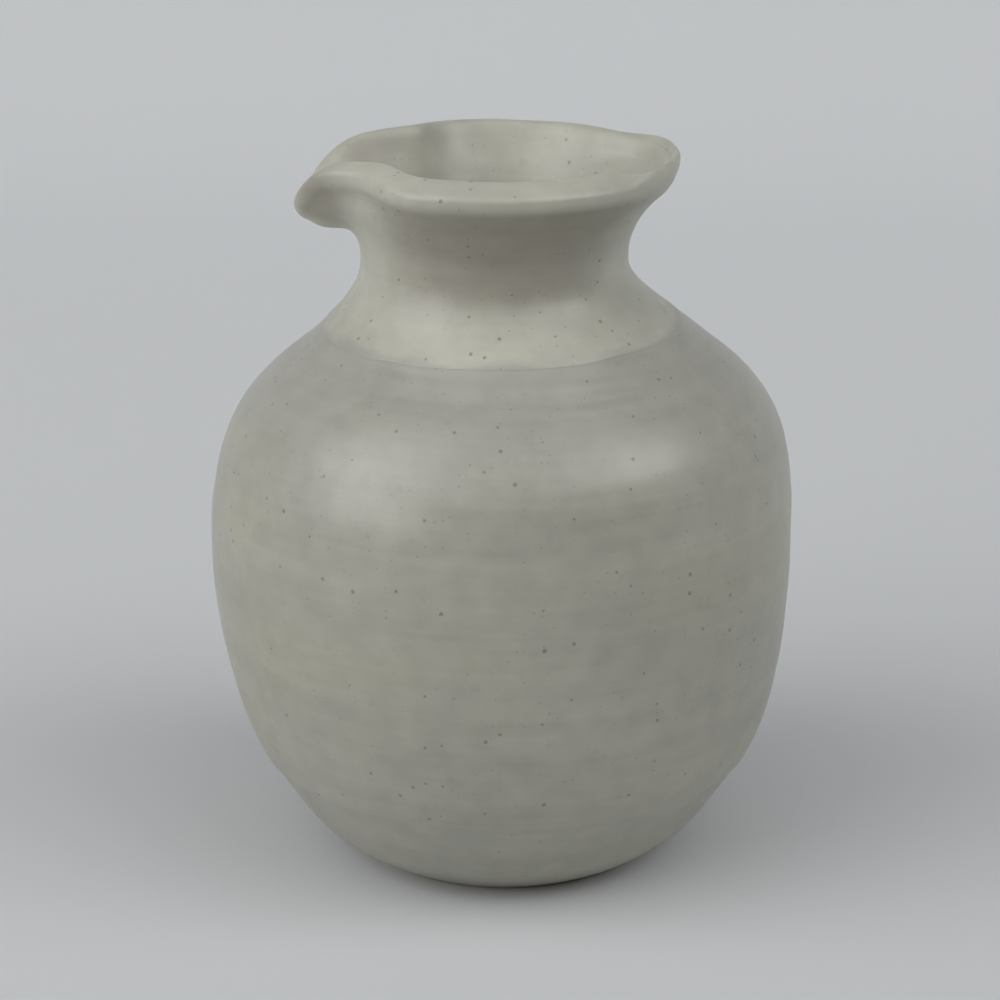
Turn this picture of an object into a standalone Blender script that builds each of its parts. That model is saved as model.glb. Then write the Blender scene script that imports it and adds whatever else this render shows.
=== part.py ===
"""Spouted stoneware jar: a thrown clay body with three coats of glaze.

Metres, +Z up. The jar stands on the XY plane, turned about Z, and its spout points to -X.
Every face is one turned outline or an offset of it, and the rim of all of them is then
bent by the same rule, as a potter pulls the spout from the soft clay.
"""
import math
from collections import namedtuple

import bpy
from mathutils import Vector
from mathutils.geometry import interpolate_bezier

# Outer face of the clay: radii, and the rise from each station to the next
FOOT_RADIUS = 0.0294
TRIM_RADIUS = 0.0489
BELLY_RADIUS = 0.0573
LINE_RADIUS = 0.0349
NECK_RADIUS = 0.0254
FOOT_BEVEL = 0.0012
FOOT_TO_TRIM = 0.0212
TRIM_TO_BELLY = 0.0424
BELLY_TO_LINE = 0.0435
LINE_TO_NECK = 0.0137
NECK_TO_LIP = 0.0150
LIP_HEIGHT = 0.0050

# Slopes of the outer face, from the horizontal
FOOT_SLOPE = math.radians(32)
TRIM_SLOPE = math.radians(55.5)
LINE_SLOPE = math.radians(139.5)
FLARE_SLOPE = math.radians(44)
BAND_SLOPE = math.radians(17)
UPRIGHT = math.radians(90)
LEVEL = 0.0

# Wall, floor and foot ring
WALL = 0.0040
FLOOR_THICKNESS = 0.0045
FLOOR_RADIUS = 0.0180
FOOT_RING = 0.0065
FOOT_RECESS = 0.0018
RECESS_DRAFT = 0.0020

# Rolled lip: how far it stands out, its width, and the drop from its crest to its edges
LIP_OVERHANG = 0.0092
LIP_WIDTH = 0.0049
LIP_OUTER_DROP = 0.0023
LIP_UNDERCUT = 0.0013
LIP_INNER_DROP = 0.0034
LIP_INNER_WIDTH = 0.0025
LIP_INNER_SLOPE = math.radians(60)

# Pulled spout: the rim thins, leans out and sinks in front, and is pinched in on both flanks
SPOUT_AZIMUTH = math.radians(173.5)
SPOUT_THINNING = 0.0014
SPOUT_THIN_SPAN = math.radians(60)
SPOUT_THIN_REACH = 0.0060
SPOUT_THIN_RISE = 0.0008
SPOUT_LEAN = math.radians(16)
SPOUT_LEAN_SPAN = math.radians(50)
SPOUT_DROOP = 0.0071
SPOUT_DROOP_SPAN = math.radians(27)
SPOUT_DROOP_DEPTH = 0.0175
PINCH_THINNING = 0.0018
PINCH_LEAN = math.radians(9.3)
PINCH_LIFT = 0.0002
PINCH_AZIMUTH = math.radians(42.5)
PINCH_SPAN = math.radians(32)
PULL_DEPTH = 0.0210

# Lip pressed out by the thumb across from the spout, from a fold in front to a soft end at the back
PRESS_FRONT = math.radians(-46)
PRESS_FRONT_RAMP = math.radians(16)
PRESS_BACK = math.radians(46)
PRESS_BACK_RAMP = math.radians(28)
PRESS_OUT = 0.0042
PRESS_SPREAD = 0.0005
PRESS_UP = 0.0018
PRESS_DOWN = 0.0012
PRESS_DEPTH = 0.0075

# Hand-thrown drift of the turning axis along X, at the trim line, belly, shoulder and neck
TRIM_DRIFT = 0.0010
BELLY_DRIFT = 0.0001
SHOULDER_DRIFT = 0.0015
NECK_DRIFT = -0.0012
SHOULDER_BELOW_LINE = 0.0040

# Glaze coats, the clearance under them, the seam between them and the bare strip above the foot
GLAZE = 0.0004
NECK_GLAZE = 0.0006
CLEARANCE = 0.0003
SEAM = 0.0004
BARE_FOOT = 0.0020

# Facets round the jar, crowded towards the spout
STEPS = 40
CROWDING = 0.35
MERGE = 0.00001
SHARP_EDGE = math.radians(35)

# Heights of the stations, from the rises
TRIM_HEIGHT = FOOT_BEVEL + FOOT_TO_TRIM
BELLY_HEIGHT = TRIM_HEIGHT + TRIM_TO_BELLY
LINE_HEIGHT = BELLY_HEIGHT + BELLY_TO_LINE
NECK_HEIGHT = LINE_HEIGHT + LINE_TO_NECK
LIP_FOOT_HEIGHT = NECK_HEIGHT + NECK_TO_LIP
RIM_HEIGHT = LIP_FOOT_HEIGHT + LIP_HEIGHT
LIP_EDGE_HEIGHT = RIM_HEIGHT - LIP_OUTER_DROP
LIP_RADIUS = NECK_RADIUS + LIP_OVERHANG
CREST_RADIUS = LIP_RADIUS - LIP_WIDTH

COLLECTION = "spouted_jar"

# A station is a point of an outline with its heading. The pulls say how far the curve keeps
# that heading before and after it, as a share of the chord to the next station.
Station = namedtuple("Station", "radius height heading pull_in pull_out")


def outer_stations():
    """Stations of the outer face, from the foot up to the crest of the lip."""
    return {
        "foot": Station(FOOT_RADIUS, FOOT_BEVEL, FOOT_SLOPE, 0.0, 0.49),
        "trim": Station(TRIM_RADIUS, TRIM_HEIGHT, TRIM_SLOPE, 0.54, 0.20),
        "belly": Station(BELLY_RADIUS, BELLY_HEIGHT, UPRIGHT, 0.38, 0.60),
        "line": Station(LINE_RADIUS, LINE_HEIGHT, LINE_SLOPE, 0.38, 0.65),
        "neck": Station(NECK_RADIUS, NECK_HEIGHT, UPRIGHT, 0.22, 0.42),
        "lip_foot": Station(LIP_RADIUS - LIP_UNDERCUT, LIP_FOOT_HEIGHT, FLARE_SLOPE, 0.33, 0.30),
        "lip_edge": Station(LIP_RADIUS, LIP_EDGE_HEIGHT, UPRIGHT, 0.60, 0.18),
        "crest": Station(CREST_RADIUS, RIM_HEIGHT, math.pi - BAND_SLOPE, 0.60, 0.0),
    }


def inset(station, depth):
    """The station moved square to its heading, into the wall."""
    return station._replace(
        radius=station.radius - depth * math.sin(station.heading),
        height=station.height + depth * math.cos(station.heading),
    )


def inner_stations(outer):
    """Stations of the inner face, from the floor up to the crest of the lip."""
    floor_height = FOOT_RECESS + FLOOR_THICKNESS
    lip_inside = Station(
        CREST_RADIUS - LIP_INNER_WIDTH, RIM_HEIGHT - LIP_INNER_DROP, LIP_INNER_SLOPE, 0.30, 0.40
    )
    return {
        "floor": Station(FLOOR_RADIUS, floor_height, LEVEL, 0.0, 0.45),
        "heel": inset(outer["trim"], WALL),
        "belly": inset(outer["belly"], WALL),
        "line": inset(outer["line"], WALL),
        "throat": inset(outer["neck"], WALL),
        "lip_inside": lip_inside,
        "crest": outer["crest"]._replace(heading=-BAND_SLOPE, pull_in=0.45),
    }


def heading_vector(angle):
    return Vector((math.cos(angle), math.sin(angle)))


def run(stations, names, counts):
    """Points of a smooth outline through the named stations, with a count for each stretch."""
    points = []
    for first, second, count in zip(names, names[1:], counts):
        a = stations[first]
        b = stations[second]
        start = Vector((a.radius, a.height))
        end = Vector((b.radius, b.height))
        chord = (end - start).length
        leaving = start + heading_vector(a.heading) * a.pull_out * chord
        arriving = end - heading_vector(b.heading) * b.pull_in * chord
        stretch = interpolate_bezier(start, leaving, arriving, end, count + 1)
        points.extend(stretch if not points else stretch[1:])
    return points


def shifted(points, distance):
    """The outline moved square to itself, to the left of its run for a positive distance."""
    moved = []
    last = len(points) - 1
    for index, point in enumerate(points):
        along = (points[min(index + 1, last)] - points[max(index - 1, 0)]).normalized()
        moved.append(point + Vector((-along.y, along.x)) * distance)
    return moved


def shortened(points, start_gap, end_gap):
    """The outline with its two ends drawn in along the run."""
    first = points[0] + (points[1] - points[0]).normalized() * start_gap
    last = points[-1] + (points[-2] - points[-1]).normalized() * end_gap
    return [first] + points[1:-1] + [last]


def coat_section(points, thickness):
    """Closed section of a coat on the left of an outline's run, a clearance away from it."""
    under = shifted(points, CLEARANCE)
    over = shifted(points, CLEARANCE + thickness)
    return over + under[::-1]


def smooth_step(value):
    value = min(max(value, 0.0), 1.0)
    return value * value * (3.0 - 2.0 * value)


def bell(value):
    """1 in the middle, falling evenly to 0 at 1 on either side."""
    return math.cos(min(abs(value), 1.0) * math.pi / 2.0) ** 2


def wrapped(angle):
    return (angle + math.pi) % (2.0 * math.pi) - math.pi


def lip_outward(radius):
    """0 at the crest of the lip and 1 at its outer edge."""
    return min(max((radius - CREST_RADIUS) / LIP_WIDTH, 0.0), 1.0)


def press_lip(azimuth, radius, height):
    """Across from the spout the crest is thumbed out and down, and the edge of the lip up."""
    turn = wrapped(azimuth)
    reach = smooth_step((turn - PRESS_FRONT) / PRESS_FRONT_RAMP)
    reach *= smooth_step((PRESS_BACK - turn) / PRESS_BACK_RAMP)
    reach *= smooth_step((height - RIM_HEIGHT + PRESS_DEPTH) / (PRESS_DEPTH - LIP_OUTER_DROP))
    outward = lip_outward(radius)
    spread = PRESS_OUT + (PRESS_SPREAD - PRESS_OUT) * outward
    rise = (PRESS_UP + PRESS_DOWN) * outward - PRESS_DOWN
    return radius + spread * reach, height + rise * reach


def pinched(from_spout):
    """1 on the pinched flanks of the spout, at an arc from it, falling to 0 on either side."""
    return bell((from_spout - PINCH_AZIMUTH) / PINCH_SPAN)


def thin_spout(from_spout, radius, height):
    """The pull draws the lip in and up from its outer side, the edge and the flare under it alike."""
    outward = smooth_step(1.0 - (LIP_RADIUS - radius) / SPOUT_THIN_REACH)
    outward *= smooth_step((height - NECK_HEIGHT) / NECK_TO_LIP)
    pull = bell(from_spout / SPOUT_THIN_SPAN)
    thinning = SPOUT_THINNING * pull + PINCH_THINNING * pinched(from_spout)
    return radius - thinning * outward, height + SPOUT_THIN_RISE * pull * outward


def pull_spout(from_spout, radius, height):
    """The rim leans out and sinks at the spout, and stands in and up on its two flanks."""
    base = RIM_HEIGHT - PULL_DEPTH
    pinch = pinched(from_spout)
    lean = SPOUT_LEAN * bell(from_spout / SPOUT_LEAN_SPAN) - PINCH_LEAN * pinch
    lean *= smooth_step((height - base) / PULL_DEPTH)
    out = radius - NECK_RADIUS
    up = height - base
    sunk = SPOUT_DROOP * bell(from_spout / SPOUT_DROOP_SPAN) - PINCH_LIFT * pinch
    sunk *= smooth_step((height - RIM_HEIGHT + SPOUT_DROOP_DEPTH) / (SPOUT_DROOP_DEPTH - LIP_HEIGHT))
    pulled_radius = NECK_RADIUS + out * math.cos(lean) + up * math.sin(lean)
    pulled_height = base - out * math.sin(lean) + up * math.cos(lean) - sunk
    return pulled_radius, pulled_height


def drift(height):
    """How far the turning axis wanders along X at a height."""
    shoulder_height = LINE_HEIGHT - SHOULDER_BELOW_LINE
    stops = (
        (TRIM_HEIGHT, TRIM_DRIFT),
        (BELLY_HEIGHT, BELLY_DRIFT),
        (shoulder_height, SHOULDER_DRIFT),
        (NECK_HEIGHT, NECK_DRIFT),
    )
    offset = TRIM_DRIFT
    for (low, before), (high, after) in zip(stops, stops[1:]):
        offset += (after - before) * smooth_step((height - low) / (high - low))
    return offset


def hand_formed(point):
    """A point of the true turned shape, moved to where the potter's hands left it."""
    turned = math.atan2(point.y, point.x)
    azimuth = SPOUT_AZIMUTH + turned - CROWDING * math.sin(turned)
    radius, height = press_lip(azimuth, math.hypot(point.x, point.y), point.z)
    from_spout = abs(wrapped(azimuth - SPOUT_AZIMUTH))
    radius, height = thin_spout(from_spout, radius, height)
    radius, height = pull_spout(from_spout, radius, height)
    return Vector((radius * math.cos(azimuth) + drift(point.z), radius * math.sin(azimuth), height))


def clear_scene():
    for item in list(bpy.data.objects):
        bpy.data.objects.remove(item, do_unlink=True)


def make_material(name, colour, roughness):
    material = bpy.data.materials.new(name)
    material.use_nodes = True
    shader = material.node_tree.nodes["Principled BSDF"]
    shader.inputs["Base Color"].default_value = (*colour, 1.0)
    shader.inputs["Roughness"].default_value = roughness
    shader.inputs["Metallic"].default_value = 0.0
    return material


def turned_piece(name, section, closed, material, collection):
    """Turn a section about Z, then form it by hand, as one named object."""
    count = len(section)
    edges = [(index, index + 1) for index in range(count - 1)]
    if closed:
        edges.append((count - 1, 0))
    profile = bpy.data.meshes.new(name + "_profile")
    profile.from_pydata([(point.x, 0.0, point.y) for point in section], edges, [])
    blank = bpy.data.objects.new(name + "_blank", profile)
    collection.objects.link(blank)
    screw = blank.modifiers.new("turn", "SCREW")
    screw.axis = "Z"
    screw.steps = STEPS
    screw.render_steps = STEPS
    screw.use_merge_vertices = True
    screw.merge_threshold = MERGE
    bpy.context.view_layer.update()
    turned = blank.evaluated_get(bpy.context.evaluated_depsgraph_get())
    mesh = bpy.data.meshes.new_from_object(turned)
    bpy.data.objects.remove(blank, do_unlink=True)
    for vertex in mesh.vertices:
        vertex.co = hand_formed(vertex.co)
    mesh.name = name
    mesh.materials.append(material)
    mesh.shade_smooth()
    mesh.set_sharp_from_angle(angle=SHARP_EDGE)
    piece = bpy.data.objects.new(name, mesh)
    # The same diagonal on clay and coat keeps their bent facets parallel
    facets = piece.modifiers.new("facets", "TRIANGULATE")
    facets.quad_method = "SHORTEST_DIAGONAL"
    collection.objects.link(piece)


def clay_section(inner_face, outer_face):
    """The whole clay outline: floor, inner face, lip, outer face, foot ring and recessed base."""
    ring_inside = FOOT_RADIUS - FOOT_BEVEL - FOOT_RING
    base = [
        Vector((FOOT_RADIUS - FOOT_BEVEL, 0.0)),
        Vector((ring_inside, 0.0)),
        Vector((ring_inside - RECESS_DRAFT, FOOT_RECESS)),
        Vector((0.0, FOOT_RECESS)),
    ]
    floor_middle = Vector((0.0, inner_face[0].y))
    return [floor_middle] + inner_face + outer_face[::-1][1:] + base


def build():
    clear_scene()
    collection = bpy.data.collections.new(COLLECTION)
    bpy.context.scene.collection.children.link(collection)

    outer = outer_stations()
    inner = inner_stations(outer)
    belly_out = run(outer, ("foot", "trim", "belly", "line"), (5, 5, 7))
    neck_out = run(outer, ("line", "neck", "lip_foot", "lip_edge", "crest"), (5, 4, 2, 3))
    liner_in = run(inner, ("floor", "heel", "belly", "line", "throat"), (5, 4, 6, 5))
    throat_in = run(inner, ("throat", "lip_inside", "crest"), (4, 3))

    clay = clay_section(liner_in + throat_in[1:], belly_out + neck_out[1:])
    clay_finish = make_material("bare_stoneware", (0.56, 0.50, 0.41), 0.85)
    turned_piece("clay_body", clay, False, clay_finish, collection)

    # Each coat's run keeps the clay on its right, so that the coat lies on its left
    belly_run = shortened(belly_out, BARE_FOOT, SEAM / 2.0)[::-1]
    body_finish = make_material("grey_satin_glaze", (0.40, 0.39, 0.36), 0.5)
    turned_piece("body_glaze", coat_section(belly_run, GLAZE), True, body_finish, collection)

    neck_run = shortened(throat_in + neck_out[::-1][1:], SEAM / 2.0, SEAM / 2.0)
    neck_finish = make_material("cream_satin_glaze", (0.45, 0.44, 0.38), 0.5)
    turned_piece("neck_glaze", coat_section(neck_run, NECK_GLAZE), True, neck_finish, collection)

    floor_middle = Vector((0.0, liner_in[0].y))
    liner_run = shortened([floor_middle] + liner_in, 0.0, SEAM / 2.0)
    liner_finish = make_material("cream_liner_glaze", (0.46, 0.45, 0.40), 0.5)
    turned_piece("liner_glaze", coat_section(liner_run, GLAZE), False, liner_finish, collection)


build()
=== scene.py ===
"""Spouted stoneware jar, thrown, pulled and glazed as meshes, on a plain stage.

Metres, +Z up. The jar stands on the XY plane, turned about Z, and its spout points to -X.
"""

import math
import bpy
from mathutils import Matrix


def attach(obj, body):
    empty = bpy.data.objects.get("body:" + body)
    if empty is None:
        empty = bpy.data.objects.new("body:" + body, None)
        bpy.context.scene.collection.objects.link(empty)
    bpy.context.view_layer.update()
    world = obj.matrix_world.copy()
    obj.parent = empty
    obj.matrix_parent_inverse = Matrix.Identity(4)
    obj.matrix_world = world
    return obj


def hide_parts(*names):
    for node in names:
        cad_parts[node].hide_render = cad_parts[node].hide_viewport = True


bl_info = {
    "name": "Spouted Stoneware Jar",
    "version": (1, 0, 0),
    "blender": (4, 5, 0),
    "location": "View3D > Sidebar > Jar",
    "description": "Throws and glazes a small pouring jar and sets it on a plain stage",
    "category": "Add Mesh",
}

from collections import namedtuple
from types import SimpleNamespace

import bmesh
import bpy
from bpy.props import FloatProperty, FloatVectorProperty, IntProperty, PointerProperty
from mathutils import Matrix, Vector, noise
from mathutils.geometry import interpolate_bezier

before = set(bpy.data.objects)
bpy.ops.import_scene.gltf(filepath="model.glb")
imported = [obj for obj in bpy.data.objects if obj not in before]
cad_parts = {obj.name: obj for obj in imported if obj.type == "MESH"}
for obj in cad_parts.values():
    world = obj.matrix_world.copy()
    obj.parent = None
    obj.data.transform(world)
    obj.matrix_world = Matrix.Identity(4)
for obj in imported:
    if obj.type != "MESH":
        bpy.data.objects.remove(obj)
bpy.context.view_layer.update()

UPRIGHT = math.radians(90)
LEVEL = 0.0
MERGE = 0.000001
SHARP_EDGE = math.radians(50)
CERAMIC_IOR = 1.58

# How often the turned slice is doubled, and the facets of the foot's edge and the backdrop's turn
DOUBLINGS = 3
FOOT_SEGMENTS = 3
SWEEP_STEPS = 24

# Points of each stretch of the outlines
BELLY_OUT = (("foot", 36), ("trim", 52), ("belly", 72), ("line", 0))
NECK_OUT = (("line", 34), ("neck", 30), ("lip_foot", 10), ("lip_edge", 16), ("crest", 0))
LINER_IN = (("floor", 18), ("heel", 24), ("belly", 28), ("line", 22), ("throat", 0))
THROAT_IN = (("throat", 24), ("lip_inside", 12), ("crest", 0))

# How many points round off the edge of a coat, and how many lap over the coat below
EDGE_POINTS = 3
LAP_POINTS = 5

# Seeds and scales of the unevenness round the jar
LINE_SEED = 3.7
LINE_WAVES = 2.6
LIP_SEED = 8.1
LIP_WAVES = 1.9
EDGE_SEED = 14.3
EDGE_WAVES = 4.5
RING_WANDER = 0.7
FINE_RING_SEED = 21.0
RIB_SEED = 43.0
FINE_RING_SHARE = 0.35

Station = namedtuple("Station", "radius height heading pull_in pull_out")
Lamp = namedtuple("Lamp", "name azimuth elevation width height power")
Pattern = namedtuple("Pattern", "around along detail")
Clouds = namedtuple("Clouds", "scale detail low high")
Specks = namedtuple("Specks", "spacing radius share strength")

# Two small lamps for the gleams on the shoulder.
# Directions in degrees, sizes in metres, power in watts.
LAMPS = (
    Lamp("left_gleam", -144, 17, 0.66, 0.30, 1.8),
    Lamp("right_gleam", -18, 18, 0.50, 0.28, 0.2),
)

# Noise that is drawn out round the jar: metres round it, metres along it, and detail
STREAKS = Pattern(0.045, 0.0016, 3.0)
BANDS = Pattern(0.120, 0.0090, 2.0)
PATCHES = Pattern(0.060, 0.028, 3.0)
LINE_WANDER = Pattern(0.012, 0.003, 3.0)
CLAY_LINES = Pattern(0.030, 0.0005, 2.0)

# Clouds of one tone on another: their number in a metre, detail, and where they begin and are full
NECK_CLOUDS = Clouds(34.0, 3.0, 0.38, 0.62)
BELLY_CLOUDS = Clouds(26.0, 3.0, 0.36, 0.64)
LINER_CLOUDS = Clouds(30.0, 3.0, 0.38, 0.62)
CLAY_CLOUDS = Clouds(90.0, 4.0, 0.40, 0.66)

# Iron specks: metres apart, radius in metres, share of places that hold one, strength of the tone
SMUDGES = Specks(0.0046, 0.00070, 0.50, 0.07)
DOTS = Specks(0.0027, 0.00034, 0.50, 0.50)
DUST = Specks(0.0015, 0.00018, 0.55, 0.30)
CLAY_DOTS = Specks(0.0026, 0.00034, 0.60, 0.7)

# The edge of a speck, as shares of its radius: how fine and how deep its teeth are, and its blur
TOOTH_SCALE = 0.8
TOOTH_DEPTH = 1.2
SPECK_BLUR = 0.5

# Even noise, as a number in a metre, and how far the finest relief stands out, in metres
MOTTLE_SCALE = 210.0
PEEL_SCALE = 900.0
MAUVE_SCALE = 40.0
GRIT_SCALE = 2600.0
GLAZE_RELIEF = 0.00006
CLAY_RELIEF = 0.00012


def size(name, description, default):
    return FloatProperty(
        name=name, description=description, default=default, unit="LENGTH", precision=5
    )


def angle(name, description, degrees):
    return FloatProperty(
        name=name, description=description, default=math.radians(degrees), subtype="ANGLE"
    )


def colour(name, description, default):
    return FloatVectorProperty(
        name=name, description=description, default=default, subtype="COLOR", min=0.0, max=1.0
    )


def spot(name, description, default):
    return FloatVectorProperty(
        name=name, description=description, default=default, subtype="XYZ", unit="LENGTH"
    )


def number(name, description, default):
    return FloatProperty(name=name, description=description, default=default)


class JarWall(bpy.types.PropertyGroup):
    """Sizes of the thrown wall"""

    foot_radius: size("Foot radius", "Radius of the clay just above the foot", 0.0294)
    trim_radius: size("Trim radius", "Radius of the clay at the trim line", 0.0489)
    belly_radius: size("Belly radius", "Largest radius of the clay", 0.0573)
    line_radius: size("Line radius", "Radius of the clay at the glaze line", 0.0349)
    neck_radius: size("Neck radius", "Smallest radius of the neck", 0.0254)
    foot_bevel: size("Foot bevel", "Width and height of the rounded edge of the foot", 0.0012)
    foot_to_trim: size("Foot to trim", "Rise from the foot to the trim line", 0.0212)
    trim_to_belly: size("Trim to belly", "Rise from the trim line to the belly", 0.0424)
    belly_to_line: size("Belly to line", "Rise from the belly to the glaze line", 0.0435)
    line_to_neck: size("Line to neck", "Rise from the glaze line to the neck", 0.0137)
    foot_slope: angle("Foot slope", "Slope of the wall above the foot", 32)
    trim_slope: angle("Trim slope", "Slope of the wall at the trim line", 55.5)
    line_slope: angle("Line slope", "Slope of the shoulder at the glaze line", 139.5)
    thickness: size("Wall", "Thickness of the clay wall", 0.0040)
    floor_thickness: size("Floor", "Thickness of the clay floor", 0.0045)
    floor_radius: size("Floor radius", "Radius of the flat part of the floor", 0.0180)
    foot_ring: size("Foot ring", "Width of the ring that the jar stands on", 0.0065)
    foot_recess: size("Foot recess", "Depth of the recess inside the foot ring", 0.0018)
    recess_draft: size("Recess draft", "How far the side of the recess leans in", 0.0020)
    foot_rounding: size("Foot rounding", "Softened edge of the trimmed foot", 0.0004)
    trim_drift: size("Trim drift", "Drift of the turning axis at the trim line", 0.0010)
    belly_drift: size("Belly drift", "Drift of the turning axis at the belly", 0.0001)
    shoulder_drift: size("Shoulder drift", "Drift of the turning axis at the shoulder", 0.0015)
    neck_drift: size("Neck drift", "Drift of the turning axis at the neck", -0.0012)
    shoulder_below_line: size("Shoulder below line", "Drop from the line to the shoulder", 0.0040)
    ring_depth: size("Ring depth", "Depth of the throwing rings", 0.00011)
    ring_pitch: size("Ring pitch", "Height of one throwing ring", 0.0058)
    fine_ring_pitch: size("Fine ring pitch", "Height of one fine throwing ring", 0.0026)
    rib_depth: size("Rib depth", "Depth of the lines that a rib left on the shoulder", 0.00017)
    rib_pitch: size("Rib pitch", "Height of one of these lines", 0.0009)
    rib_drop: size("Rib drop", "Drop from the glaze line to the middle of these lines", 0.0040)
    rib_reach: size("Rib reach", "How far these lines reach up and down", 0.0060)
    ridge_height: size("Trim ridge", "Height of the ridge that the trimming tool left", 0.00016)
    ridge_width: size("Trim ridge width", "Half the width of that ridge", 0.0024)
    steps: IntProperty(name="Steps", description="Facets round the jar", default=240, min=24)
    crowding: number("Crowding", "How far the facets crowd towards the spout", 0.2)


class JarRim(bpy.types.PropertyGroup):
    """Sizes of the rolled lip and the pulled spout"""

    neck_to_lip: size("Neck to lip", "Rise from the neck to the foot of the lip", 0.0150)
    lip_height: size("Lip height", "Rise from the foot of the lip to its crest", 0.0050)
    flare_slope: angle("Flare slope", "Slope of the flare under the lip", 44)
    band_slope: angle("Band slope", "Slope of the lip's upper face at its crest", 17)
    lip_overhang: size("Lip overhang", "How far the lip stands out from the neck", 0.0092)
    lip_width: size("Lip width", "Width of the lip from its edge to its crest", 0.0049)
    lip_outer_drop: size("Lip edge drop", "Drop from the crest to the outer edge", 0.0023)
    lip_undercut: size("Lip undercut", "How far the lip's foot lies inside its edge", 0.0013)
    lip_inner_drop: size("Lip inner drop", "Drop from the crest to the inside of the lip", 0.0034)
    lip_inner_width: size("Lip inner width", "Width of the lip inside its crest", 0.0025)
    lip_inner_slope: angle("Lip inner slope", "Slope of the throat under the lip", 60)
    spout_azimuth: angle("Spout azimuth", "Direction of the spout", 173.5)
    spout_thinning: size("Spout thinning", "How far the pull draws the edge in", 0.0014)
    spout_thin_span: angle("Thin span", "Half the arc that thins", 60)
    spout_thin_reach: size("Thin reach", "How far in from the edge the lip thins", 0.0060)
    spout_thin_rise: size("Thin rise", "How far the pull raises the edge", 0.0008)
    spout_lean: angle("Spout lean", "How far the rim leans out at the spout", 16)
    spout_lean_span: angle("Lean span", "Half the arc that leans out", 50)
    spout_droop: size("Spout droop", "How far the rim sinks at the spout", 0.0071)
    spout_droop_span: angle("Droop span", "Half the arc that sinks", 27)
    spout_droop_depth: size("Droop depth", "How far below the crest the rim sinks", 0.0175)
    pinch_thinning: size("Pinch thinning", "How far the pinch draws the edge in", 0.0018)
    pinch_lean: angle("Pinch lean", "How far the flanks of the spout are pinched in", 9.3)
    pinch_lift: size("Pinch lift", "How far the flanks are raised", 0.0002)
    pinch_azimuth: angle("Pinch azimuth", "Arc from the spout to the pinched flank", 42.5)
    pinch_span: angle("Pinch span", "Half the arc that is pinched", 32)
    pull_depth: size("Pull depth", "How far below the crest the neck is pulled", 0.0210)
    press_front: angle("Press front", "Where the thumbed part begins with a fold", -46)
    press_front_ramp: angle("Press front ramp", "Arc of that fold", 16)
    press_back: angle("Press back", "Where the thumbed part ends at the back", 46)
    press_back_ramp: angle("Press back ramp", "Arc of that end", 28)
    press_out: size("Press out", "How far the crest is pressed outwards", 0.0042)
    press_spread: size("Press spread", "How far the edge is pressed outwards", 0.0005)
    press_up: size("Press up", "How far the edge is pressed upwards", 0.0018)
    press_down: size("Press down", "How far the crest is pressed downwards", 0.0012)
    press_depth: size("Press depth", "How far below the crest the press reaches", 0.0075)
    wobble: size("Lip wobble", "Unevenness of the crest's height", 0.00025)
    edge_wobble: size("Edge wobble", "Unevenness of the lip's outer edge", 0.00030)
    wobble_depth: size("Wobble depth", "How far below the crest the unevenness reaches", 0.0100)


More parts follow.
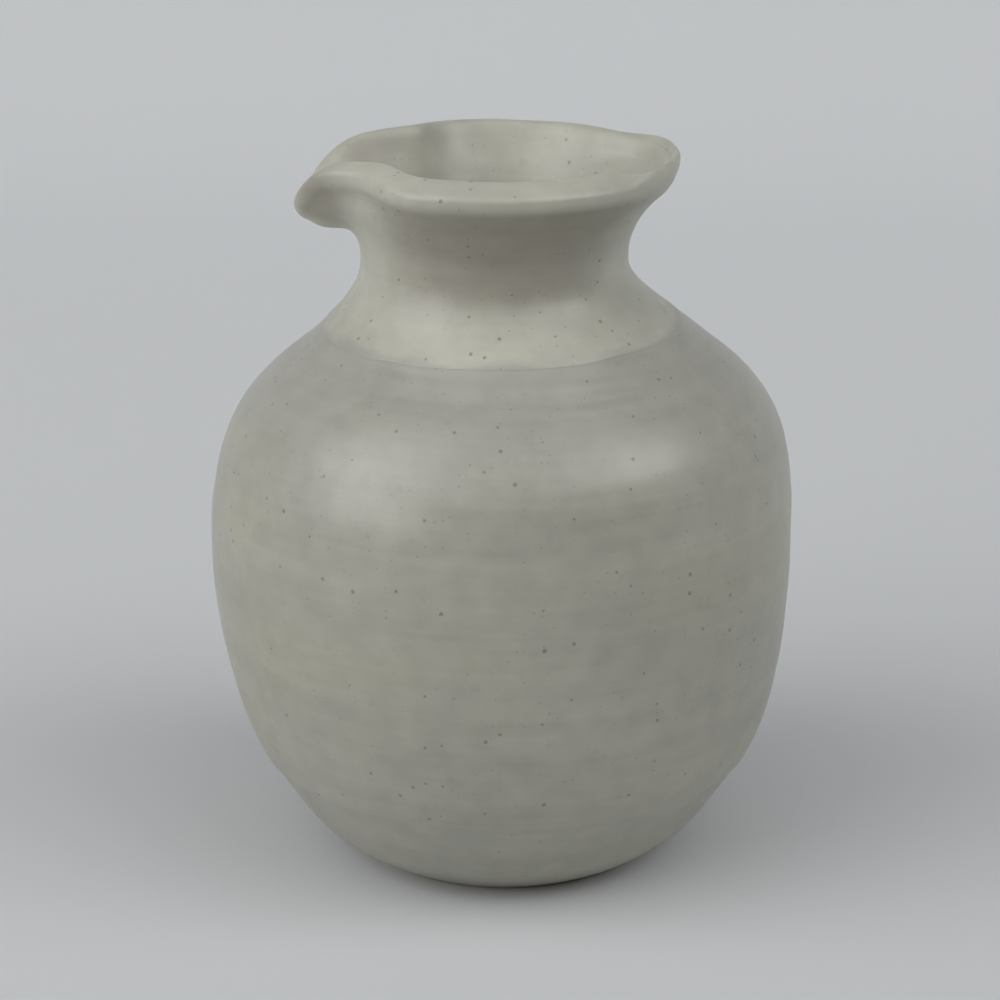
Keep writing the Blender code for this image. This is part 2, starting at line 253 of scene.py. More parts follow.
class JarGlaze(bpy.types.PropertyGroup):
    """Thickness, edges and tones of the glaze coats"""

    clearance: size("Clearance", "Gap between clay and glaze", 0.0001)
    belly_coat: size("Belly coat", "Thickness of the coat on the belly", 0.00040)
    neck_coat: size("Neck coat", "Thickness of the second dip on the neck", 0.00060)
    liner_coat: size("Liner coat", "Thickness of the coat inside", 0.00040)
    bare_foot: size("Bare foot", "Strip above the foot that was wiped clean", 0.0020)
    lap_gap: size("Lap gap", "Gap between a coat and the coat over it", 0.00004)
    line_tilt: size("Line tilt", "How far the dip line rises away from the spout", 0.0008)
    line_wave: size("Line wave", "Unevenness of the dip line", 0.0003)
    line_reach: size("Line reach", "How far from the line the wall slides with it", 0.0090)
    cream: colour("Cream", "Glaze where it was dipped twice", (0.455, 0.450, 0.375))
    cream_shade: colour("Cream shade", "Thinner patches of the cream glaze", (0.425, 0.420, 0.360))
    # Painted shade as well as thin glaze: this tone darkens the front of the neck under the lip, the
    # pocket at the spout's root and the face under the tip
    thin_glaze_and_shade: colour("Thin", "Glaze that ran thin on the neck and round the spout", (0.310, 0.288, 0.236))
    thin_and_shade_drop: size("Thin drop", "How far below the neck the thin glaze begins", 0.0080)
    thin_and_shade_rise: size("Thin rise", "How far above the lip's foot it ends", 0.0030)
    thin_and_shade_fade: size("Thin fade", "Height over which it fades out there", 0.0040)
    thin_and_shade_side: size("Thin side", "How far in front of the axis it begins", 0.0130)
    thin_and_shade_front: size("Thin front", "How far in front of the axis it is full", 0.0240)
    # The pocket and tip patches are painted shade mixed with stain and thin glaze: darker in the pocket
    # at the spout's root and on the face under the tip
    pocket_place: spot("Pocket", "Middle of the stain in the spout", (-0.0248, 0.0140, 0.1372))
    pocket_reach: size("Pocket reach", "How far that stain spreads", 0.0080)
    tip_place: spot("Tip", "Middle of the thin patch under the tip", (-0.0345, -0.0085, 0.1350))
    tip_reach: size("Tip reach", "How far that patch spreads", 0.0110)
    tone_wander: size("Tone wander", "How far the edges of these tones wander", 0.0060)
    cream_fade: size("Cream fade", "Height over which the cream thins out at its lower edge", 0.0028)
    grey: colour("Grey", "Glaze on the belly", (0.372, 0.363, 0.308))
    grey_shade: colour("Grey shade", "Thinner patches of the belly glaze", (0.345, 0.336, 0.288))
    straw: colour("Straw", "Yellowish patches of the belly glaze", (0.374, 0.370, 0.285))
    mauve: colour("Mauve", "Glaze just below the dip line", (0.352, 0.342, 0.305))
    mauve_drop: size("Mauve drop", "How far below the dip line that tone reaches", 0.0300)
    mauve_wander: size("Mauve wander", "How far its lower edge wanders", 0.0120)
    liner: colour("Liner", "Glaze poured inside", (0.48, 0.47, 0.41))
    liner_shade: colour("Liner shade", "Thinner patches inside", (0.45, 0.44, 0.39))
    speck: colour("Speck", "Iron specks in the glaze", (0.075, 0.062, 0.048))
    clay: colour("Clay", "Bare fired clay", (0.52, 0.46, 0.37))
    clay_shade: colour("Clay shade", "Toasted patches of the bare clay", (0.42, 0.35, 0.26))
    neck_roughness: number("Neck roughness", "Roughness of the neck's coat between its streaks", 0.30)
    belly_roughness: number("Belly roughness", "Roughness of the belly's coat between its streaks", 0.22)
    liner_roughness: number("Liner roughness", "Roughness of the coat inside between its streaks", 0.45)
    clay_roughness: number("Clay roughness", "Roughness of the bare clay between its grit", 0.80)


class JarStage(bpy.types.PropertyGroup):
    """Floor, light and camera"""

    floor: colour("Floor", "Floor and backdrop", (0.57, 0.58, 0.59))
    floor_front: size("Floor front", "How far the floor reaches to the front", 3.5)
    floor_back: size("Floor back", "Where the floor turns up into the backdrop", 0.55)
    floor_width: size("Floor width", "Half the width of the floor", 3.5)
    sweep_radius: size("Sweep radius", "Radius of the turn into the backdrop", 0.45)
    backdrop_height: size("Backdrop height", "Height of the backdrop", 1.6)
    floor_roughness: number("Floor roughness", "Roughness of floor and backdrop", 0.9)
    world: colour("World", "Colour of the light all round", (0.985, 0.995, 1.0))
    sky: number("Sky", "Strength of the light from high up in front", 0.77)
    sky_sides: number("Sky sides", "How much stronger it is to the left and right", 5.1)
    sky_low: angle("Sky low", "Height below which no light comes from in front", 26.5)
    sky_high: angle("Sky high", "Height above which it is at its full strength", 31.5)
    sky_fade: number("Sky fade", "Half the depth of its fade to the back, where 1 is straight back", 0.2)
    left_window: number("Left window", "Strength of the light from the left", 0.84)
    right_window: number("Right window", "Strength of the light from the right", 0.22)
    window_turn: angle("Window turn", "How far behind the jar's sides the windows are", 12)
    window_edge: angle("Window edge", "Angle from the middle to the edge of each window", 45)
    window_middle: angle("Window middle", "Angle within which a window is at its full strength", 25)
    lamp: colour("Lamp", "Colour of the lamps", (1.0, 0.995, 0.985))
    lamp_distance: size("Lamp distance", "From the jar to each lamp", 0.95)
    lamp_aim: size("Lamp aim", "Height that the lamps point at", 0.075)
    camera_aside: size("Camera aside", "Place of the camera along X", -0.00014)
    camera_back: size("Camera back", "How far the camera stands in front of the jar", 0.56753)
    camera_height: size("Camera height", "Height of the camera", 0.26119)
    camera_tilt: angle("Camera tilt", "How far the camera looks down from the level", 18.46)
    lens: FloatProperty(
        name="Lens", description="Focal length in millimetres", default=108.0, unit="CAMERA"
    )


def smooth_step(value):
    value = min(max(value, 0.0), 1.0)
    return value * value * (3.0 - 2.0 * value)


def bell(value):
    """1 in the middle, falling evenly to 0 at 1 on either side."""
    return math.cos(min(abs(value), 1.0) * math.pi / 2.0) ** 2


def wrapped(turn):
    return (turn + math.pi) % math.tau - math.pi


def uneven(azimuth, seed, waves):
    """Smooth unevenness round the jar, about -1 to 1, that closes on itself."""
    return noise.noise((waves * math.cos(azimuth), waves * math.sin(azimuth), seed))


class Outline:
    """The turned outline of the clay: the outer face up to the crest, and the inner face."""

    def __init__(self, wall, rim):
        self.wall = wall
        self.trim_height = wall.foot_bevel + wall.foot_to_trim
        self.belly_height = self.trim_height + wall.trim_to_belly
        self.line_height = self.belly_height + wall.belly_to_line
        self.neck_height = self.line_height + wall.line_to_neck
        self.lip_foot_height = self.neck_height + rim.neck_to_lip
        self.rim_height = self.lip_foot_height + rim.lip_height
        self.lip_edge_height = self.rim_height - rim.lip_outer_drop
        self.lip_radius = wall.neck_radius + rim.lip_overhang
        self.crest_radius = self.lip_radius - rim.lip_width
        self.outer = self.outer_stations(wall, rim)
        self.inner = self.inner_stations(wall, rim)
        self.belly_out = self.run(self.outer, BELLY_OUT)
        self.neck_out = self.run(self.outer, NECK_OUT)
        self.liner_in = self.run(self.inner, LINER_IN)
        self.throat_in = self.run(self.inner, THROAT_IN)

    def outer_stations(self, wall, rim):
        lip_foot_radius = self.lip_radius - rim.lip_undercut
        band_heading = math.pi - rim.band_slope
        return {
            "foot": Station(wall.foot_radius, wall.foot_bevel, wall.foot_slope, 0.0, 0.49),
            "trim": Station(wall.trim_radius, self.trim_height, wall.trim_slope, 0.54, 0.20),
            "belly": Station(wall.belly_radius, self.belly_height, UPRIGHT, 0.38, 0.60),
            "line": Station(wall.line_radius, self.line_height, wall.line_slope, 0.38, 0.65),
            "neck": Station(wall.neck_radius, self.neck_height, UPRIGHT, 0.22, 0.42),
            "lip_foot": Station(
                lip_foot_radius, self.lip_foot_height, rim.flare_slope, 0.33, 0.30
            ),
            "lip_edge": Station(self.lip_radius, self.lip_edge_height, UPRIGHT, 0.60, 0.18),
            "crest": Station(self.crest_radius, self.rim_height, band_heading, 0.60, 0.0),
        }

    def inset(self, name):
        """A station of the outer face moved square to its heading, through the wall."""
        station = self.outer[name]
        return station._replace(
            radius=station.radius - self.wall.thickness * math.sin(station.heading),
            height=station.height + self.wall.thickness * math.cos(station.heading),
        )

    def inner_stations(self, wall, rim):
        floor_height = wall.foot_recess + wall.floor_thickness
        lip_inside = Station(
            self.crest_radius - rim.lip_inner_width,
            self.rim_height - rim.lip_inner_drop,
            rim.lip_inner_slope,
            0.30,
            0.40,
        )
        return {
            "floor": Station(wall.floor_radius, floor_height, LEVEL, 0.0, 0.45),
            "heel": self.inset("trim"),
            "belly": self.inset("belly"),
            "line": self.inset("line"),
            "throat": self.inset("neck"),
            "lip_inside": lip_inside,
            "crest": self.outer["crest"]._replace(heading=-rim.band_slope, pull_in=0.18),
        }

    def run(self, stations, stretches):
        """Points of a smooth outline through the named stations, with a count for each stretch."""
        points = []
        for (first, count), (second, _) in zip(stretches, stretches[1:]):
            a = stations[first]
            b = stations[second]
            start = Vector((a.radius, a.height))
            end = Vector((b.radius, b.height))
            chord = (end - start).length
            leaving = start + heading_vector(a.heading) * a.pull_out * chord
            arriving = end - heading_vector(b.heading) * b.pull_in * chord
            stretch = interpolate_bezier(start, leaving, arriving, end, count + 1)
            points.extend(stretch if not points else stretch[1:])
        return points


def heading_vector(turn):
    return Vector((math.cos(turn), math.sin(turn)))


def shifted(points, depths):
    """The outline moved square to itself, to the left of its run, by a depth for each point."""
    moved = []
    last = len(points) - 1
    for index, (point, depth) in enumerate(zip(points, depths)):
        along = (points[min(index + 1, last)] - points[max(index - 1, 0)]).normalized()
        moved.append(point + Vector((-along.y, along.x)) * depth)
    return moved


def without_start(points, gap):
    """The outline without its first stretch of that length."""
    walked = 0.0
    for index, (here, there) in enumerate(zip(points, points[1:])):
        step = (there - here).length
        if walked + step > gap:
            return [here.lerp(there, (gap - walked) / step)] + points[index + 1:]
        walked += step
    raise ValueError("The bare strip is longer than the wall above it")


def rounded_rise(index):
    """Share of a coat's thickness at a point counted from its edge, as a quarter round."""
    short = 1.0 - min(index / EDGE_POINTS, 1.0)
    return math.sqrt(1.0 - short * short)


def coat_depths(count, clearance, thickness, start_edge):
    """Depth of a coat's face off the clay, drawn in at its last edge and, if it has one, its first."""
    depths = []
    for index in range(count):
        share = rounded_rise(count - 1 - index)
        if start_edge:
            share = min(share, rounded_rise(index))
        depths.append(clearance + thickness * share)
    return depths


class Hands:
    """What the potter's hands do to the true turned shape."""

    def __init__(self, outline, wall, rim, glaze):
        self.outline = outline
        self.wall = wall
        self.rim = rim
        self.glaze = glaze

    def drift(self, height):
        """How far the turning axis wanders along X at a height."""
        wall = self.wall
        stops = (
            (self.outline.trim_height, wall.trim_drift),
            (self.outline.belly_height, wall.belly_drift),
            (self.outline.line_height - wall.shoulder_below_line, wall.shoulder_drift),
            (self.outline.neck_height, wall.neck_drift),
        )
        offset = wall.trim_drift
        for (low, before), (high, after) in zip(stops, stops[1:]):
            offset += (after - before) * smooth_step((height - low) / (high - low))
        return offset

    def rings(self, azimuth, radius, height):
        """Throwing rings, the rib's lines on the shoulder, and the ridge above the trimmed foot."""
        wall = self.wall
        aside = RING_WANDER * math.cos(azimuth)
        ahead = RING_WANDER * math.sin(azimuth)
        broad = noise.noise((aside, ahead, height / wall.ring_pitch))
        fine = noise.noise((aside, ahead, FINE_RING_SEED + height / wall.fine_ring_pitch))
        depth = wall.ring_depth * (broad + FINE_RING_SHARE * fine - 1.0)
        lines = noise.noise((aside, ahead, RIB_SEED + height / wall.rib_pitch)) - 1.0
        ribbed = bell((self.outline.line_height - wall.rib_drop - height) / wall.rib_reach)
        depth += wall.rib_depth * lines * ribbed
        ridge = wall.ridge_height * bell((height - self.outline.trim_height) / wall.ridge_width)
        return (depth + ridge) * smooth_step(radius / wall.floor_radius)

    def slide_line(self, azimuth, radius, height):
        """Slide the shoulder's points up or down it, so that the glaze line is not quite level."""
        glaze = self.glaze
        near = bell((height - self.outline.line_height) / glaze.line_reach)
        inside = self.outline.inner["line"].radius
        near *= smooth_step((radius - inside) / (self.wall.line_radius - inside))
        rise = glaze.line_tilt * math.cos(azimuth)
        rise += glaze.line_wave * uneven(azimuth, LINE_SEED, LINE_WAVES)
        rise *= near
        return radius + rise / math.tan(self.wall.line_slope), height + rise

    def lip_outward(self, radius):
        """0 at the crest of the lip and 1 at its outer edge."""
        return min(max((radius - self.outline.crest_radius) / self.rim.lip_width, 0.0), 1.0)

    def press_lip(self, azimuth, radius, height):
        """Across from the spout the crest is thumbed out and down, and the edge of the lip up."""
        rim = self.rim
        turn = wrapped(azimuth)
        reach = smooth_step((turn - rim.press_front) / rim.press_front_ramp)
        reach *= smooth_step((rim.press_back - turn) / rim.press_back_ramp)
        below = height - self.outline.rim_height + rim.press_depth
        reach *= smooth_step(below / (rim.press_depth - rim.lip_outer_drop))
        outward = self.lip_outward(radius)
        spread = rim.press_out + (rim.press_spread - rim.press_out) * outward
        rise = (rim.press_up + rim.press_down) * outward - rim.press_down
        return radius + spread * reach, height + rise * reach

    def pinched(self, from_spout):
        """1 on the pinched flanks of the spout, at an arc from it, falling to 0 on either side."""
        return bell((from_spout - self.rim.pinch_azimuth) / self.rim.pinch_span)

    def thin_spout(self, from_spout, radius, height):
        """The pull draws the lip in and up from its outer side, and the flare under it too."""
        rim = self.rim
        outline = self.outline
        outward = smooth_step(1.0 - (outline.lip_radius - radius) / rim.spout_thin_reach)
        outward *= smooth_step((height - outline.neck_height) / rim.neck_to_lip)
        pull = bell(from_spout / rim.spout_thin_span)
        thinning = rim.spout_thinning * pull + rim.pinch_thinning * self.pinched(from_spout)
        return radius - thinning * outward, height + rim.spout_thin_rise * pull * outward

    def pull_spout(self, from_spout, radius, height):
        """The rim leans out and sinks at the spout, and stands in and up on its two flanks."""
        rim = self.rim
        rim_height = self.outline.rim_height
        base = rim_height - rim.pull_depth
        pinch = self.pinched(from_spout)
        lean = rim.spout_lean * bell(from_spout / rim.spout_lean_span) - rim.pinch_lean * pinch
        lean *= smooth_step((height - base) / rim.pull_depth)
        out = radius - self.wall.neck_radius
        up = height - base
        sunk = rim.spout_droop * bell(from_spout / rim.spout_droop_span) - rim.pinch_lift * pinch
        sinking = height - rim_height + rim.spout_droop_depth
        sunk *= smooth_step(sinking / (rim.spout_droop_depth - rim.lip_height))
        pulled_radius = self.wall.neck_radius + out * math.cos(lean) + up * math.sin(lean)
        pulled_height = base - out * math.sin(lean) + up * math.cos(lean) - sunk
        return pulled_radius, pulled_height

    def wobble_lip(self, azimuth, radius, height):
        """The lip is not quite level, and its outer edge not quite round."""
        rim = self.rim
        reach = smooth_step((height - self.outline.rim_height) / rim.wobble_depth + 1.0)
        out = rim.edge_wobble * uneven(azimuth, EDGE_SEED, EDGE_WAVES) * self.lip_outward(radius)
        up = rim.wobble * uneven(azimuth, LIP_SEED, LIP_WAVES)
        return radius + out * reach, height + up * reach

    def formed(self, point):
        """A point of the true turned shape, moved to where the hands left it."""
        turned = math.atan2(point.y, point.x)
        azimuth = self.rim.spout_azimuth + turned - self.wall.crowding * math.sin(turned)
        radius = math.hypot(point.x, point.y)
        radius, height = self.slide_line(azimuth, radius, point.z)
        radius += self.rings(azimuth, radius, height)
        radius, height = self.wobble_lip(azimuth, radius, height)
        radius, height = self.press_lip(azimuth, radius, height)
        from_spout = abs(wrapped(azimuth - self.rim.spout_azimuth))
        radius, height = self.thin_spout(from_spout, radius, height)
        radius, height = self.pull_spout(from_spout, radius, height)
        aside = radius * math.cos(azimuth) + self.drift(point.z)
        return Vector((aside, radius * math.sin(azimuth), height))


class Value:
    """One output of a shader node, on which sums can be written."""

    def __init__(self, shader, socket):
        self.shader = shader
        self.socket = socket

    def output(self, name):
        """Another output of the same node."""
        return Value(self.shader, self.socket.node.outputs[name])

    def __add__(self, other):
        return self.shader.sum("ADD", self, other)

    def __radd__(self, other):
        return self.shader.sum("ADD", other, self)

    def __sub__(self, other):
        return self.shader.sum("SUBTRACT", self, other)

    def __mul__(self, other):
        return self.shader.sum("MULTIPLY", self, other)

    def __rmul__(self, other):
        return self.shader.sum("MULTIPLY", other, self)


class Nodes:
    """The nodes of a material or a world, added as they are asked for."""

    def __init__(self, tree):
        self.tree = tree

    def feed(self, socket, value):
        if isinstance(value, Value):
            self.tree.links.new(value.socket, socket)
        else:
            socket.default_value = value

    def add(self, kind, output, settings, sockets):
        """A node of a kind with its settings, then its sockets' values or links."""
        node = self.tree.nodes.new(kind)
        for name, value in settings.items():
            setattr(node, name, value)
        for name, value in sockets.items():
            self.feed(node.inputs[name], value)
        return Value(self, node.outputs[output])

    def sum(self, operation, first, second):
        return self.add("ShaderNodeMath", 0, {"operation": operation}, {0: first, 1: second})

    def mix(self, factor, first, second, blend="MIX"):
        settings = {"data_type": "RGBA", "blend_type": blend, "clamp_factor": True}
        return self.add("ShaderNodeMix", 2, settings, {0: factor, 6: first, 7: second})

    def between(self, value, start, end):
        """0 at start, 1 at end and smooth in between."""
        settings = {"interpolation_type": "SMOOTHSTEP"}
        sockets = {"Value": value, "From Min": start, "From Max": end}
        return self.add("ShaderNodeMapRange", "Result", settings, sockets)


class Shader(Nodes):
    """The nodes of one material, with the patterns that the finishes are made of."""

    def __init__(self, name):
        self.material = bpy.data.materials.new(name)
        self.material.use_nodes = True
        super().__init__(self.material.node_tree)
        self.surface = self.tree.nodes["Principled BSDF"]
        self.surface.inputs["IOR"].default_value = CERAMIC_IOR

    def place(self):
        return self.add("ShaderNodeTexCoord", "Object", {}, {})

    def grain(self, place, scale, detail):
        sockets = {"Vector": place, "Scale": scale, "Detail": detail}
        return self.add("ShaderNodeTexNoise", 0, {}, sockets)

    def drawn_out(self, place, pattern):
        """Noise that is wide round the jar and narrow along it."""
        scale = (1.0 / pattern.around, 1.0 / pattern.around, 1.0 / pattern.along)
        stretched = self.add("ShaderNodeMapping", "Vector", {}, {"Vector": place, "Scale": scale})
        return self.grain(stretched, 1.0, pattern.detail)

    def clouded(self, place, clouds, first, second):
        """One tone with soft clouds of a second."""
        cloud = self.grain(place, clouds.scale, clouds.detail)
        cloud = self.between(cloud, clouds.low, clouds.high)
        return self.mix(cloud, opaque(first), opaque(second))

    def specks(self, place, specks):
        """Ragged specks of mixed size on a share of the cells that the spacing gives."""
        sockets = {"Vector": place, "Scale": 1.0 / specks.spacing}
        distance = self.add("ShaderNodeTexVoronoi", "Distance", {}, sockets)
        lot = self.add("ShaderNodeSeparateColor", 0, {}, {0: distance.output("Color")})
        reach = specks.radius / specks.spacing
        spread = (lot - (1.0 - specks.share)) * (reach / specks.share)
        teeth = self.grain(place, TOOTH_SCALE / specks.radius, 2.0) - 0.5
        ragged = teeth * (TOOTH_DEPTH * reach)
        return self.between(distance + ragged - spread, SPECK_BLUR * reach, 0.0)

    def finish(self, tone, roughness, height, relief):
        """Feed the surface: a tone, a roughness, and a height that stands out by the relief."""
        bump = self.add(
            "ShaderNodeBump", "Normal", {}, {"Height": height, "Distance": relief, "Strength": 1.0}
        )
        self.feed(self.surface.inputs["Base Color"], tone)
        self.feed(self.surface.inputs["Roughness"], roughness)
        self.feed(self.surface.inputs["Normal"], bump)
        return self.material


def opaque(tone):
    return (*tone, 1.0)


def glazed(shader, place, tone, speck, smoothest):
    """Finish a satin glaze: streaks and bands round the jar, a pinhole grain and iron specks."""
    streaks = shader.drawn_out(place, STREAKS)
    bands = shader.drawn_out(place, BANDS)
    mottle = shader.grain(place, MOTTLE_SCALE, 3.0)
    peel = shader.grain(place, PEEL_SCALE, 2.0)
    for share, pattern in ((0.08, streaks), (0.11, bands), (0.14, mottle)):
        tone = shader.mix(share, tone, pattern, "OVERLAY")
    masks = {specks: shader.specks(place, specks) for specks in (SMUDGES, DOTS, DUST)}
    for specks, mask in masks.items():
        tone = shader.mix(mask * specks.strength, tone, opaque(speck))
    roughness = smoothest + 0.12 * streaks + 0.06 * peel
    height = streaks * 0.40 + peel * 0.25 - masks[DOTS] * 0.35
    return shader.finish(tone, roughness, height, GLAZE_RELIEF)


def cream_glaze(glaze, outline):
    """Cream that thins out at its lower edge, with painted shade mixed into a darker, thin glaze on the
    front of the neck, in the spout's pocket and under its tip.
    """
    shader = Shader("cream_satin_glaze_finish")
    place = shader.place()
    tone = shader.clouded(place, NECK_CLOUDS, glaze.cream_shade, glaze.cream)
    parts = shader.add("ShaderNodeSeparateXYZ", "Z", {}, {"Vector": place})
    line_radius = outline.outer["line"].radius
    above = parts - parts.output("X") * (glaze.line_tilt / line_radius) - outline.line_height
    wander = (shader.drawn_out(place, LINE_WANDER) - 0.5) * glaze.tone_wander
    edge = shader.between(above + wander, 0.0, glaze.cream_fade)
    tone = shader.mix(edge, opaque(glaze.mauve), tone)
    # Painted shade under the lip's overhang: the front of the neck is darkened, partly by a browner thin
    # glaze and partly by shade
    below = shader.between(parts, outline.neck_height - glaze.thin_and_shade_drop, outline.neck_height)
    thin_and_shade_end = outline.lip_foot_height + glaze.thin_and_shade_rise
    beyond = shader.between(parts, thin_and_shade_end, thin_and_shade_end - glaze.thin_and_shade_fade)
    front = shader.between(parts.output("Y"), -glaze.thin_and_shade_side, -glaze.thin_and_shade_front)
    tone = shader.mix(below * beyond * front * 0.8, tone, opaque(glaze.thin_glaze_and_shade))
    # Painted shade, partly real: the pocket at the spout's root is darkened as stain and shade, the face
    # under the tip as thin glaze and shade
    for middle, reach, share in (
        (glaze.pocket_place, glaze.pocket_reach, 0.7),
        (glaze.tip_place, glaze.tip_reach, 0.8),
    ):
        sockets = {0: place, 1: middle}
        away = shader.add("ShaderNodeVectorMath", "Value", {"operation": "DISTANCE"}, sockets)
        stain_and_shade = shader.between(away + wander, reach, 0.2 * reach)
        tone = shader.mix(stain_and_shade * share, tone, opaque(glaze.thin_glaze_and_shade))
    return glazed(shader, place, tone, glaze.speck, glaze.neck_roughness)


def belly_glaze(glaze, outline):
    """Grey with straw-coloured patches, mauve just below the neck's coat."""
    shader = Shader("grey_satin_glaze_finish")
    place = shader.place()
    tone = shader.clouded(place, BELLY_CLOUDS, glaze.grey_shade, glaze.grey)
    patch = shader.between(shader.drawn_out(place, PATCHES), 0.46, 0.66)
    tone = shader.mix(patch * 0.6, tone, opaque(glaze.straw))
    wander = shader.grain(place, MAUVE_SCALE, 2.0) * glaze.mauve_wander
    height = shader.add("ShaderNodeSeparateXYZ", "Z", {}, {"Vector": place}) + wander
    below = shader.between(height, outline.line_height - glaze.mauve_drop, outline.line_height)
    tone = shader.mix(below * 0.8, tone, opaque(glaze.mauve))
    return glazed(shader, place, tone, glaze.speck, glaze.belly_roughness)


def liner_glaze(glaze):
    """Cream with soft clouds, duller than outside."""
    shader = Shader("cream_liner_glaze_finish")
    place = shader.place()
    tone = shader.clouded(place, LINER_CLOUDS, glaze.liner_shade, glaze.liner)
    return glazed(shader, place, tone, glaze.speck, glaze.liner_roughness)


def bare_clay(glaze):
    """Dry clay with toasted patches, grit and the lines of the trimming tool."""
    shader = Shader("bare_stoneware_finish")
    place = shader.place()
    tone = shader.clouded(place, CLAY_CLOUDS, glaze.clay, glaze.clay_shade)
    grit = shader.grain(place, GRIT_SCALE, 3.0)
    lines = shader.drawn_out(place, CLAY_LINES)
    tone = shader.mix(0.22, tone, grit, "OVERLAY")
    dots = shader.specks(place, CLAY_DOTS)
    tone = shader.mix(dots * CLAY_DOTS.strength, tone, opaque(glaze.speck))
    roughness = glaze.clay_roughness + 0.14 * grit
    return shader.finish(tone, roughness, grit * 0.6 + lines * 0.4, CLAY_RELIEF)


def turned_piece(section, closed, steps):
    """Turn a section in the XZ plane about Z: one slice of the turn, doubled until it is whole."""
    bm = bmesh.new()
    verts = [bm.verts.new((point.x, 0.0, point.y)) for point in section]
    nexts = verts[1:] + verts[:1] if closed else verts[1:]
    edges = [bm.edges.new(pair) for pair in zip(verts, nexts)]
    slices = 2 ** DOUBLINGS
    turn = math.tau / slices
    bmesh.ops.spin(
        bm,
        geom=verts + edges,
        cent=(0.0, 0.0, 0.0),
        axis=(0.0, 0.0, 1.0),
        angle=turn,
        steps=steps // slices,
    )
    for _ in range(DOUBLINGS):
        copied = bmesh.ops.duplicate(bm, geom=bm.verts[:] + bm.edges[:] + bm.faces[:])
        moved = [item for item in copied["geom"] if isinstance(item, bmesh.types.BMVert)]
        bmesh.ops.rotate(bm, verts=moved, cent=(0.0, 0.0, 0.0), matrix=Matrix.Rotation(turn, 3, "Z"))
        turn *= 2.0
    bmesh.ops.remove_doubles(bm, verts=bm.verts, dist=MERGE)
    bmesh.ops.recalc_face_normals(bm, faces=bm.faces)
    return bm


def show_piece(context, bm, hands, name, node, material):
    """Form the spun skin by hand and show it in place of a solid of the jar."""
    for vert in bm.verts:
        vert.co = hands.formed(vert.co)
    mesh = bpy.data.meshes.new(name)
    bm.to_mesh(mesh)
    bm.free()
    mesh.materials.append(material)
    mesh.shade_smooth()
    mesh.set_sharp_from_angle(angle=SHARP_EDGE)
    piece = bpy.data.objects.new(name, mesh)
    context.scene.collection.objects.link(piece)
    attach(piece, "root")
    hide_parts(node)


def plain(settings):
    """The sizes of a property group as plain values, which are quicker to read many times."""
    return SimpleNamespace(**{name: getattr(settings, name) for name in settings.__annotations__})


def workshop(context):
    """The outline and the hands that every piece of the jar is made with."""
    wall = plain(context.scene.jar_wall)
    rim = plain(context.scene.jar_rim)
    outline = Outline(wall, rim)
    return outline, Hands(outline, wall, rim, plain(context.scene.jar_glaze))


class JAR_OT_throw_clay(bpy.types.Operator):
    """Throw the clay wall with its foot ring, floor, lip and spout"""

    bl_idname = "jar.throw_clay"
    bl_label = "Throw Clay"

    def execute(self, context):
        wall = context.scene.jar_wall
        outline, hands = workshop(context)
        inner = outline.liner_in + outline.throat_in[1:]
        outer = outline.belly_out + outline.neck_out[1:]
        ring_inside = wall.foot_radius - wall.foot_bevel - wall.foot_ring
        base = [
            Vector((wall.foot_radius - wall.foot_bevel, 0.0)),
            Vector((ring_inside, 0.0)),
            Vector((ring_inside - wall.recess_draft, wall.foot_recess)),
            Vector((0.0, wall.foot_recess)),
        ]
        floor_middle = Vector((0.0, inner[0].y))
        section = [floor_middle] + inner + outer[::-1][1:] + base
        bm = turned_piece(section, False, wall.steps)
        corners = [edge for edge in bm.edges if self.is_foot_edge(edge, wall)]
        bmesh.ops.bevel(
            bm,
            geom=corners,
            offset=wall.foot_rounding,
            offset_type="OFFSET",
            affect="EDGES",
            segments=FOOT_SEGMENTS,
            profile=0.5,
            material=-1,
        )
        material = bare_clay(context.scene.jar_glaze)
        show_piece(context, bm, hands, "thrown_clay", "clay_body", material)
        return {"FINISHED"}

    def is_foot_edge(self, edge, wall):
        """The edges round the foot ring and its recess."""
        low, high = sorted(vert.co.z for vert in edge.verts)
        level = high - low < MERGE and high < wall.foot_recess + MERGE
        return level and len(edge.link_faces) == 2 and edge.calc_face_angle() > wall.foot_slope / 2


class JAR_OT_dip_belly(bpy.types.Operator):
    """Coat the belly with grey glaze, from the bare foot to just under the neck's coat"""

    bl_idname = "jar.dip_belly"
    bl_label = "Dip Belly"

    def execute(self, context):
        glaze = context.scene.jar_glaze
        outline, hands = workshop(context)
        under_neck = outline.neck_out[1:LAP_POINTS]
        points = without_start(outline.belly_out + under_neck, glaze.bare_foot)[::-1]
        over = coat_depths(len(points), glaze.clearance, glaze.belly_coat, True)
        under = [glaze.clearance] * len(points)
        section = shifted(points, over) + shifted(points, under)[::-1]
        bm = turned_piece(section, True, context.scene.jar_wall.steps)
        material = belly_glaze(glaze, outline)
        show_piece(context, bm, hands, "belly_coat", "body_glaze", material)
        return {"FINISHED"}


